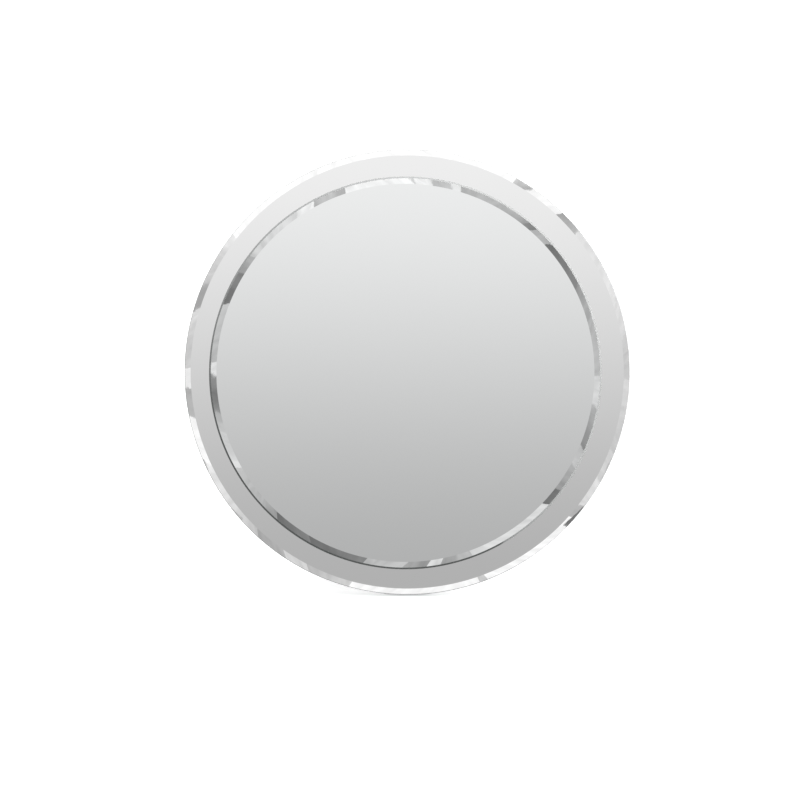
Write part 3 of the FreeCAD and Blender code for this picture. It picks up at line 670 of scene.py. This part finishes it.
def whole_faces(node):
    """A CAD piece's mesh as a new one, its loose triangles joined up into whole faces."""
    shape = bmesh.new()
    shape.from_mesh(frame["nodes"][node].data)
    bmesh.ops.remove_doubles(shape, verts=shape.verts, dist=SAME_POINT)
    flat = math.radians(0.5)
    bmesh.ops.dissolve_limit(shape, angle_limit=flat, verts=shape.verts, edges=shape.edges)
    mesh = bpy.data.meshes.new(node)
    shape.to_mesh(mesh)
    shape.free()
    if "custom_normal" in mesh.attributes:
        mesh.attributes.remove(mesh.attributes["custom_normal"])
    return mesh


def eased(name, node, millimetres, material, body, slot):
    mesh = whole_faces(node)
    mesh.materials.clear()
    mesh.materials.append(material)
    mesh.shade_smooth()
    obj = linked(name + "_start", mesh)
    bevel = obj.modifiers.new("eased", "BEVEL")
    bevel.width = millimetres * MM
    bevel.segments = 3
    bevel.limit_method = "ANGLE"
    bevel.angle_limit = math.radians(35)
    bevel.harden_normals = True
    piece = keep(obj, name, Matrix())
    installed(piece, body, slot, node)


eased("foot_block", "front_foot", 0.5, RUBBER, "mirror", "rubber")
eased("fixed_leaf", "hinge_fixed_leaf", 0.15, ZINC, "mirror", "zinc_steel")
eased("moving_leaf", "hinge_strut_leaf", 0.15, ZINC, "strut", "zinc_steel")
eased("tapered_strut", "strut_board", 0.5, BOARD, "strut", "black_board")
eased("foot_cap", "strut_shoe", 0.4, RUBBER, "strut", "rubber")


def half_width(points, height):
    """How far a flat outline reaches to each side at a height, from its corner points."""
    edge = sorted((point.y, abs(point.x)) for point in points)
    for (low, wide), (high, other) in zip(edge, edge[1:]):
        if low <= height <= high and high > low:
            return wide + (other - wide) * (height - low) / (high - low)
    return edge[0][1] if height < edge[0][0] else edge[-1][1]


FELT_ROWS, FELT_COLUMNS = 128, 40


def felt_sheet(outline, low, high):
    """A sheet as wide at each height as the outline, divided into a grid on both faces."""
    shape = bmesh.new()
    layers = []
    for level in (low.z, high.z):
        layer = []
        for i in range(FELT_ROWS + 1):
            up = low.y + (high.y - low.y) * i / FELT_ROWS
            half = half_width(outline, up)
            spots = [half * (2 * j / FELT_COLUMNS - 1) for j in range(FELT_COLUMNS + 1)]
            layer.append([shape.verts.new((across, up, level)) for across in spots])
        layers.append(layer)
    under, over = layers
    for i in range(FELT_ROWS):
        for j in range(FELT_COLUMNS):
            quad = [(i, j), (i, j + 1), (i + 1, j + 1), (i + 1, j)]
            shape.faces.new([over[a][b] for a, b in quad])
            shape.faces.new([under[a][b] for a, b in reversed(quad)])
    rim = [(0, j) for j in range(FELT_COLUMNS)] + [(i, FELT_COLUMNS) for i in range(FELT_ROWS)]
    rim += [(FELT_ROWS, j) for j in range(FELT_COLUMNS, 0, -1)] + [(i, 0) for i in range(FELT_ROWS, 0, -1)]
    for (a, b), (c, d) in zip(rim, rim[1:] + rim[:1]):
        shape.faces.new([under[a][b], under[c][d], over[c][d], over[a][b]])
    mesh = bpy.data.meshes.new("tapered_felt")
    shape.to_mesh(mesh)
    shape.free()
    return mesh


def rivet_punches(level, depth):
    """Cylinders as thick as the rivets, standing where those go through the felt."""
    shape = bmesh.new()
    for low, high in solids("strut_rivets", STRUT):
        spot = (low + high) / 2
        spot.z = level
        bmesh.ops.create_cone(
            shape,
            cap_ends=True,
            segments=32,
            radius1=RIVET_SHANK,
            radius2=RIVET_SHANK,
            depth=depth,
            matrix=Matrix.Translation(spot),
        )
    mesh = bpy.data.meshes.new("felt_holes")
    shape.to_mesh(mesh)
    shape.free()
    return mesh


def tapered_felt():
    """The felt on the strut, its edge rolled over by the knife, punched for the rivets."""
    low, high = reach("strut_felt", STRUT)
    past_holes = reach("strut_rivets", STRUT)[1].x + 3 * MM
    outline = [point for point in local_points("strut_felt", STRUT) if abs(point.x) > past_holes]
    sheet = linked("tapered_felt_start", felt_sheet(outline, low, high))
    sheet.data.materials.append(FELT)
    holes = linked("felt_holes", rivet_punches((low.z + high.z) / 2, 2 * (high.z - low.z)))
    roll = sheet.modifiers.new("rolled", "BEVEL")
    roll.width = 0.3 * MM
    roll.segments = 3
    roll.limit_method = "ANGLE"
    roll.angle_limit = math.radians(60)
    cut = sheet.modifiers.new("punched", "BOOLEAN")
    cut.object = holes
    cut.operation = "DIFFERENCE"
    piece = keep(sheet, "tapered_felt", STRUT)
    bpy.data.objects.remove(holes)
    napped(piece, STRUT, low.z)
    piece.data.shade_smooth()
    piece.data.set_sharp_from_angle(angle=math.radians(40))
    installed(piece, "strut", "felt", "strut_felt")


# ---- fasteners

OUT_OF_BACK = Matrix.Rotation(math.pi, 4, "X")  # z turned to point out of the back
OUT_OF_FOOT = Matrix.Rotation(math.pi / 2, 4, "X")  # z turned to point down the glass
RIVET_SHANK = 2.0 * MM


def placed_tree(recessed):
    """Sets a shape at points that store its turn, first with a cross recess cut in its top."""
    sockets = {"Shape": "Object", "Metal": "Material"}
    if recessed:
        sockets.update({"Span": "Float", "Slot": "Float", "Depth": "Float"})
    tree, given, result = new_tree("placed", sockets)
    shape = add(tree, "GeometryNodeObjectInfo", {"Object": given["Shape"]}).outputs["Geometry"]
    if recessed:
        deep = calc(tree, "MULTIPLY", given["Depth"], 2)
        for wide, thin in (("Span", "Slot"), ("Slot", "Span")):
            inputs = {"X": given[wide], "Y": given[thin], "Z": deep}
            bar = add(tree, "ShaderNodeCombineXYZ", inputs).outputs[0]
            bar = add(tree, "GeometryNodeMeshCube", {"Size": bar}).outputs["Mesh"]
            inputs = {"Mesh 1": shape, "Mesh 2": bar}
            settings = {"operation": "DIFFERENCE", "solver": "EXACT"}
            shape = add(tree, "GeometryNodeMeshBoolean", inputs, **settings).outputs["Mesh"]
    spin = add(tree, "ShaderNodeCombineXYZ", {"Z": stored_value(tree, "turn", "FLOAT")}).outputs[0]
    inputs = {"Points": given["Geometry"], "Instance": shape, "Rotation": spin}
    copies = add(tree, "GeometryNodeInstanceOnPoints", inputs).outputs[0]
    copies = add(tree, "GeometryNodeRealizeInstances", {"Geometry": copies}).outputs[0]
    copies = sharpened(tree, copies, 30)
    inputs = {"Geometry": copies, "Material": given["Metal"]}
    tree.links.new(add(tree, "GeometryNodeSetMaterial", inputs).outputs[0], result)
    return tree


WITH_RECESS, PLAIN = placed_tree(True), placed_tree(False)
RECESS = {"Span": 4.2 * MM, "Slot": 0.9 * MM, "Depth": 1.1 * MM}


ROWS_PER_TURN = 8


def threaded(shank, top, bottom, pitch):
    """Rows of points up a shank, close enough together to carry a thread."""
    count = round(ROWS_PER_TURN * (top - bottom) / pitch)
    return [(shank, bottom + (top - bottom) * i / count) for i in range(count + 1)]


def fasteners(name, node, place, body, slot, metal, rows, recess=None, thread=None, **values):
    """One turned shape, its top at height 0, set where each solid of a node has its top."""
    stored = {"thread": thread} if thread else None
    shape = turned(name + "_shape", rows, Matrix(), [metal], stored, **values)
    spots = [((low.x + high.x) / 2, (low.y + high.y) / 2, high.z) for low, high in solids(node, place)]
    mesh = bpy.data.meshes.new(name)
    mesh.from_pydata(spots, [], [])
    dice = random.Random(7)
    turns = [dice.uniform(0, 2 * math.pi) for spot in spots]
    mesh.attributes.new("turn", "FLOAT", "POINT").data.foreach_set("value", turns)
    tree = WITH_RECESS if recess else PLAIN
    piece = grown(name, mesh, tree, {"Shape": shape, "Metal": metal, **(recess or {})}, place)
    bpy.data.objects.remove(shape)
    installed(piece, body, slot, node)


def wood_screw(shank, head, length, tip=2 * MM, pitch=1.3 * MM):
    """The rows of a wood screw below its head's, with how much each is threaded."""
    seat = min(height for radius, height in head) - pitch
    point = [(0, -length), (shank * 0.35, -length + tip * 0.3)]
    thread = threaded(shank, seat, -length + tip, pitch)
    rows = point + thread + [(shank, seat + pitch / 3)]
    weight = [0.0] * len(point) + [1.0] * len(thread) + [0.0]
    return rows + head, weight + [0.0] * len(head)


def countersunk_screws():
    shank, head, sink = 1.9 * MM, 3.2 * MM, 1.3 * MM
    top = [(shank, -sink), (head, -0.1 * MM), (head - 0.1 * MM, 0), (0, 0)]
    rows, thread = wood_screw(shank, top, 9 * MM)
    place = MIRROR @ OUT_OF_BACK
    values = {"thread": thread, "Thread": 0.45 * MM, "Pitch": 1.3 * MM}
    fasteners("leaf_screws", "hinge_screws", place, "mirror", "screw_steel", SCREW, rows, RECESS, **values)


def pan_head_screws():
    shank, head, height = 1.6 * MM, 3.0 * MM, 2.2 * MM
    top = [(shank, -height)] + rounded([(head, -height), (head, 0), (0, 0)], 1.1 * MM, 5)
    rows, thread = wood_screw(shank, top, 20.2 * MM)
    place = MIRROR @ OUT_OF_FOOT
    values = {"thread": thread, "Thread": 0.4 * MM, "Pitch": 1.3 * MM}
    node = "front_foot_screws"
    fasteners("foot_screws", node, place, "mirror", "screw_steel", SCREW, rows, RECESS, **values)


def domed_rivets():
    head, height, tail, tail_height, length = 3.8 * MM, 1.9 * MM, 3.2 * MM, 1.2 * MM, 12.2 * MM
    rows = [
        (0, -length),
        (RIVET_SHANK, -length),
        (tail, tail_height - length),
        (RIVET_SHANK, tail_height - length),
        (RIVET_SHANK, -height),
        (head, -height),
    ]
    dome = -0.8 * height
    rows += rounded([(head, dome), (head, 0), (0, 0)], 1.6 * MM, 6)
    place = STRUT @ OUT_OF_BACK
    fasteners("domed_rivets", "strut_rivets", place, "strut", "rivet_aluminium", RIVET, rows)


def washers():
    outer, hole, thick = 5.5 * MM, RIVET_SHANK, 0.8 * MM
    ring = [(hole, -thick), (outer, -thick), (outer, 0), (hole, 0)]
    rows = rounded(ring, 0.15 * MM, 2) + [ring[0]]
    place = STRUT @ OUT_OF_BACK
    fasteners("washers", "rivet_washers", place, "strut", "zinc_steel", ZINC, rows, Segments=64)


tapered_felt()
countersunk_screws()
pan_head_screws()
domed_rivets()
washers()


# ---- the studio

CAMERA_DISTANCE = 2.5
SENSOR = 36.0
DISC_SHARE = 0.556  # of the picture's width that the rear disc takes up
DISC_RIGHT, DISC_UP = 0.009, 0.035  # how far the disc sits from the picture's middle, of its width


def make_camera():
    """Square on to the glass, as the mirror is seen when its two rims are concentric circles."""
    width = 2 * REAR_RADIUS / DISC_SHARE
    camera = bpy.data.cameras.new("camera")
    camera.sensor_width = SENSOR
    camera.lens = SENSOR * CAMERA_DISTANCE / width
    camera.clip_end = 3 * BACKDROP_RADIUS
    seat = Matrix.Translation((-DISC_RIGHT * width, -DISC_UP * width, CAMERA_DISTANCE))
    obj = linked("camera", camera)
    obj.matrix_world = MIRROR @ seat
    bpy.context.scene.camera = obj


FLOOR_RADIUS = 18
BACKDROP_RADIUS = 22
# What the glass mirrors round the camera, by elevation: a wall that grows brighter upwards, a
# darker band where it meets the ceiling, and the white ceiling.
ROOM = [(0, "#A8A8A8"), (7.9, "#BCBCBC"), (17.9, "#FFFFFF"), (27, "#B4B4B4"), (42, "#FFFFFF")]


def make_room():
    world = bpy.data.worlds.new("room")
    bpy.context.scene.world = world
    world.use_nodes = True
    tree = world.node_tree
    direction = add(tree, "ShaderNodeTexCoord").outputs["Generated"]
    height = add(tree, "ShaderNodeSeparateXYZ", {0: direction}).outputs["Z"]
    ramp = add(tree, "ShaderNodeValToRGB", {0: height})
    ramp.color_ramp.interpolation = "EASE"
    stops = ramp.color_ramp.elements
    while len(stops) < len(ROOM):
        stops.new(0.5)
    for stop, (elevation, code) in zip(stops, ROOM):
        stop.position = math.sin(math.radians(elevation))
        stop.color = linear(code)
    tree.links.new(ramp.outputs["Color"], tree.nodes["Background"].inputs["Color"])


def glowing(name, strength=1.0, stored=None, sampling="NONE"):
    """A light-giving surface, equally bright all over or by a value stored on its mesh."""
    material = bpy.data.materials.new(name)
    material.use_nodes = True
    tree = material.node_tree
    if stored:
        strength = add(tree, "ShaderNodeAttribute", attribute_name=stored).outputs["Fac"]
    light = add(tree, "ShaderNodeEmission", {"Strength": strength})
    tree.links.new(light.outputs[0], tree.nodes["Material Output"].inputs["Surface"])
    material.cycles.emission_sampling = sampling
    return material


def seen_only_by(obj, *rays):
    """Sets which kinds of ray an object shows to."""
    for kind in ("camera", "diffuse", "glossy", "transmission", "volume_scatter", "shadow"):
        setattr(obj, "visible_" + kind, kind in rays)


FLOOR_GLOW = 0.55


def opal_board():
    """White opal acrylic with a little light through it. What it mirrors into the glass is the
    board alone, unlit, so that the glass stands out from it as a pale grey."""
    material, tree, shader = surface("opal_board", Roughness=0.9, Specular_IOR_Level=0.1)
    wire(shader, "Base Color", mixed(tree, grain(tree, 400), "#E4E4E4", "#E7E7E7"))
    glow = add(tree, "ShaderNodeEmission", {"Strength": FLOOR_GLOW})
    lit = add(tree, "ShaderNodeAddShader", {0: shader.outputs[0], 1: glow.outputs[0]})
    mirrored = add(tree, "ShaderNodeEmission", {"Color": linear("#C4C4C4")})
    is_mirrored = add(tree, "ShaderNodeLightPath").outputs["Is Glossy Ray"]
    inputs = {0: is_mirrored, 1: lit.outputs[0], 2: mirrored.outputs[0]}
    both = add(tree, "ShaderNodeMixShader", inputs)
    tree.links.new(both.outputs[0], tree.nodes["Material Output"].inputs["Surface"])
    material.cycles.emission_sampling = "NONE"
    return material


def make_floor():
    """A sheet of white board, and behind everything a white backdrop that only the camera sees."""
    shape = bmesh.new()
    bmesh.ops.create_circle(shape, cap_ends=True, segments=128, radius=FLOOR_RADIUS)
    mesh = bpy.data.meshes.new("floor")
    shape.to_mesh(mesh)
    shape.free()
    mesh.materials.append(opal_board())
    floor = linked("floor", mesh)

    shape = bmesh.new()
    bmesh.ops.create_uvsphere(shape, u_segments=64, v_segments=32, radius=BACKDROP_RADIUS)
    mesh = bpy.data.meshes.new("backdrop")
    shape.to_mesh(mesh)
    shape.free()
    mesh.materials.append(glowing("white_backdrop", 1.0))
    backdrop = linked("backdrop", mesh)
    seen_only_by(backdrop, "camera")


def area_light(name, place, target, size, power, mirrored):
    light = bpy.data.lights.new(name, "AREA")
    light.size = size
    light.energy = power
    obj = linked(name, light)
    place = Vector(place)
    turn = (Vector(target) - place).to_track_quat("-Z", "Y")
    obj.matrix_world = Matrix.Translation(place) @ turn.to_matrix().to_4x4()
    obj.visible_camera = False
    obj.visible_glossy = mirrored


def make_lights():
    """A soft key from the front right, and two soft boxes for the back."""
    target = (0, 0, 0.15)
    area_light("key", (1.8, -1.6, 2.6), target, size=1.6, power=30, mirrored=False)
    area_light("back_key", (1.4, 2.2, 1.9), target, size=1.2, power=26, mirrored=True)
    area_light("back_fill", (-1.8, 1.8, 1.0), target, size=1.0, power=10, mirrored=True)


# Cards round the camera that the bevels mirror, each over a stretch of the rim: from and to are
# degrees counter-clockwise from the right, then the card's brightness, or that at its two ends.
REAR_CARDS = [
    (-20, -1, 0.66, 0.80),
    (-1, 10, 0.64, 0.72),
    (10, 26, 0.80, 0.94),
    (26, 40, 0.90),
    (40, 47, 0.56, 0.44),
    (47, 57, 1.1),
    (57, 61, 0.44, 0.74),
    (61, 141, 1.2),
    (141, 147, 0.96, 0.80),
    (147, 154, 0.72),
    (155, 162, 0.46, 0.40),
    (162, 173, 0.84, 0.66),
    (173, 178, 0.68),
    (178, 183, 0.94),
    (183, 191, 0.48, 0.60),
    (191, 204, 1.1),
    (204, 217, 0.96, 0.82),
    (217, 227, 0.84, 0.62),
    (227, 236, 0.44, 0.52),
    (236, 243, 0.76),
    (243, 255, 0.56, 0.74),
    (255, 289, 1.1),
    (289, 291, 0.70),
    (291, 310, 1.1),
    (310, 319, 1.1),
    (319, 323, 0.52),
    (323, 332, 0.80, 0.86),
    (332, 340, 0.76),
]
FRONT_CARDS = [
    (-16, -9, 0.40, 0.50),
    (-9, 0, 0.76),
    (0, 17, 0.56, 0.52),
    (17, 27, 0.52, 0.36),
    (27, 43, 0.30, 0.19),
    (43, 49, 0.58, 0.50),
    (49, 52, 0.26, 0.32),
    (52, 62, 0.46, 0.58),
    (62, 73, 0.60, 0.52),
    (73, 76, 0.95),
    (76, 82, 0.66, 0.56),
    (83, 87, 1.1),
    (87, 88, 0.74),
    (88, 108, 1.1),
    (108, 112, 0.50, 0.66),
    (112, 118, 0.70, 0.50),
    (118, 124, 1.0),
    (124, 142, 0.84, 0.72),
    (142, 148, 0.56, 0.38),
    (148, 158, 0.27, 0.20),
    (158, 167, 0.72, 0.56),
    (167, 176, 0.62, 0.52),
    (176, 180, 0.90),
    (180, 185, 0.34, 0.24),
    (185, 191, 0.22, 0.30),
    (191, 197, 0.48, 0.62),
    (197, 209, 0.70, 0.84),
    (209, 222, 0.62, 0.54),
    (222, 228, 0.50, 0.36),
    (228, 240, 0.18, 0.26),
    (240, 258, 0.18, 0.28),
    (258, 270, 0.56, 0.66),
    (270, 277, 0.46, 0.34),
    (277, 281, 0.80),
    (281, 290, 0.40, 0.60),
    (290, 317, 0.82),
    (317, 323, 0.20),
    (323, 332, 0.38, 0.52),
    (332, 338, 0.66, 0.54),
    (338, 344, 0.28, 0.38),
]
CARD_DISTANCE = 10.0
CARD_HALF = 2.4  # degrees, half a card's height as the glass sees it
CARD_UNEVEN = 0.22  # how much a card's brightness wanders
PATCHES_PER_DEGREE = 0.6  # how quickly it wanders round the rim
ACROSS, BETWEEN = 3.1, 50  # steps in the noise from edge to edge, and from disc to disc
# Cards under the low arc of the rim stand nearer than where what the two bevels mirror crosses, and
# the others beyond it, so that none hides another. The shares are how far a card may stand on the
# way to where the counter would be met.
LOW_ARC = (222, 312)
LOW_DISTANCE = 0.05
LOW_SHARE = {"rear": 0.35, "front": 0.8}
HIGH_SHARE = 0.8
SLANT = 1.2  # degrees by which the cards' ends lean
SLANT_WAVES = 5  # how often they lean from one side to the other round the rim
HOOP_DISTANCE = 3.0
HOOP_HALF = 15.0  # degrees, half the hoop's height as the glass sees it
HOOP_ENDS = (-60, 200)  # degrees round the rim, as the cards'
HOOP_STEP = 4
HOOP_PEAK = 45  # degrees, where it is brightest
HOOP_STRENGTH = 13.0


def mirrored_pair(rim, turn, away, distance, half, margin=0.0, lean=0.0, near=HIGH_SHARE):
    """The two edges of a strip that a rim mirrors. rim is its disc's centre and its own radius and
    level, away the angle from straight ahead, and half the angle from the strip's middle to its
    edges, which go further apart by the margin. The strip is no further than the near share of the
    way to the counter, if that is in the way."""
    centre, radius, level = rim
    turn_out = MIRROR.to_3x3()
    pair = []
    for side in (-1, 1):
        spoke = Vector((math.cos(turn + side * lean), math.sin(turn + side * lean), 0))
        start = MIRROR @ (centre + spoke * radius + Vector((0, 0, level)))
        ray = turn_out @ (spoke * math.sin(away) + Vector((0, 0, math.cos(away))))
        across = turn_out @ (spoke * math.cos(away) - Vector((0, 0, math.sin(away))))
        reach_out = distance
        if ray.z < 0:
            reach_out = min(distance, near * start.z / -ray.z)
        pair.append(start + ray * reach_out + across * side * (reach_out * math.tan(half) + margin))
    return pair


def strip_of_light(name, strips, material):
    """Strips of light for the glass alone, each a list of pairs of points with their brightness."""
    points, faces, values = [], [], []
    for strip in strips:
        first = len(points)
        for pair, strengths in strip:
            points += pair
            values += strengths
        faces += [(i, i + 1, i + 3, i + 2) for i in range(first, len(points) - 2, 2)]
    mesh = bpy.data.meshes.new(name)
    mesh.from_pydata(points, [], faces)
    mesh.attributes.new("brightness", "FLOAT", "POINT").data.foreach_set("value", values)
    mesh.materials.append(material)
    obj = linked(name, mesh)
    seen_only_by(obj, "glossy")


def make_cards(which, cards, material):
    """Strips of uneven card where the bevel mirrors them."""
    centre, profile = disc_profile(f"{which}_mirror_glass")
    (outer, low), (inner, high) = profile[BEVEL_START], profile[BEVEL_END]
    radius = (outer + inner) / 2
    slope = math.atan2(high - low, outer - inner)
    away = 2 * slope + math.atan2(radius, CAMERA_DISTANCE)
    margin = (outer - inner) / 2
    half = math.radians(CARD_HALF)
    rim = (centre, radius, high)
    strips = []
    for first, last, *ends in cards:
        strip = []
        is_low = LOW_ARC[0] < (first + last) / 2 < LOW_ARC[1]
        distance, near = (LOW_DISTANCE, LOW_SHARE[which]) if is_low else (CARD_DISTANCE, HIGH_SHARE)
        steps = max(3, round(last - first))
        for i in range(steps + 1):
            share = i / steps
            turn = math.radians(first + (last - first) * share)
            lean = math.radians(SLANT) * math.sin(SLANT_WAVES * turn)
            pair = mirrored_pair(rim, turn, away, distance, half, margin, lean, near)
            strength = ends[0] + (ends[-1] - ends[0]) * share
            along = math.degrees(turn) * PATCHES_PER_DEGREE
            spots = [Vector((along, side * ACROSS, radius * BETWEEN)) for side in (0, 1)]
            strip.append((pair, [strength * (1 + CARD_UNEVEN * noise.noise(spot)) for spot in spots]))
        strips.append(strip)
    strip_of_light(f"{which}_cards", strips, material)


def make_hoop(material):
    """Light level with the glass, brightest up on the right, which the seamed edges mirror."""
    centre, profile = disc_profile("front_mirror_glass")
    rim = (centre, *profile[SEAM])
    first, last = HOOP_ENDS
    half = math.radians(HOOP_HALF)
    strip = []
    for degrees in range(first, last + 1, HOOP_STEP):
        turn = math.radians(degrees)
        pair = mirrored_pair(rim, turn, math.pi / 2, HOOP_DISTANCE, half)
        strength = HOOP_STRENGTH * (1 + math.cos(turn - math.radians(HOOP_PEAK))) / 2
        strip.append((pair, [strength, strength]))
    strip_of_light("hoop", [strip], material)


make_camera()
make_room()
make_floor()
make_lights()
lit_card = glowing("lit_card", stored="brightness")
make_cards("rear", REAR_CARDS, lit_card)
make_cards("front", FRONT_CARDS, lit_card)
make_hoop(glowing("hoop_light", stored="brightness", sampling="FRONT_BACK"))
bpy.context.scene.view_settings.view_transform = "Standard"
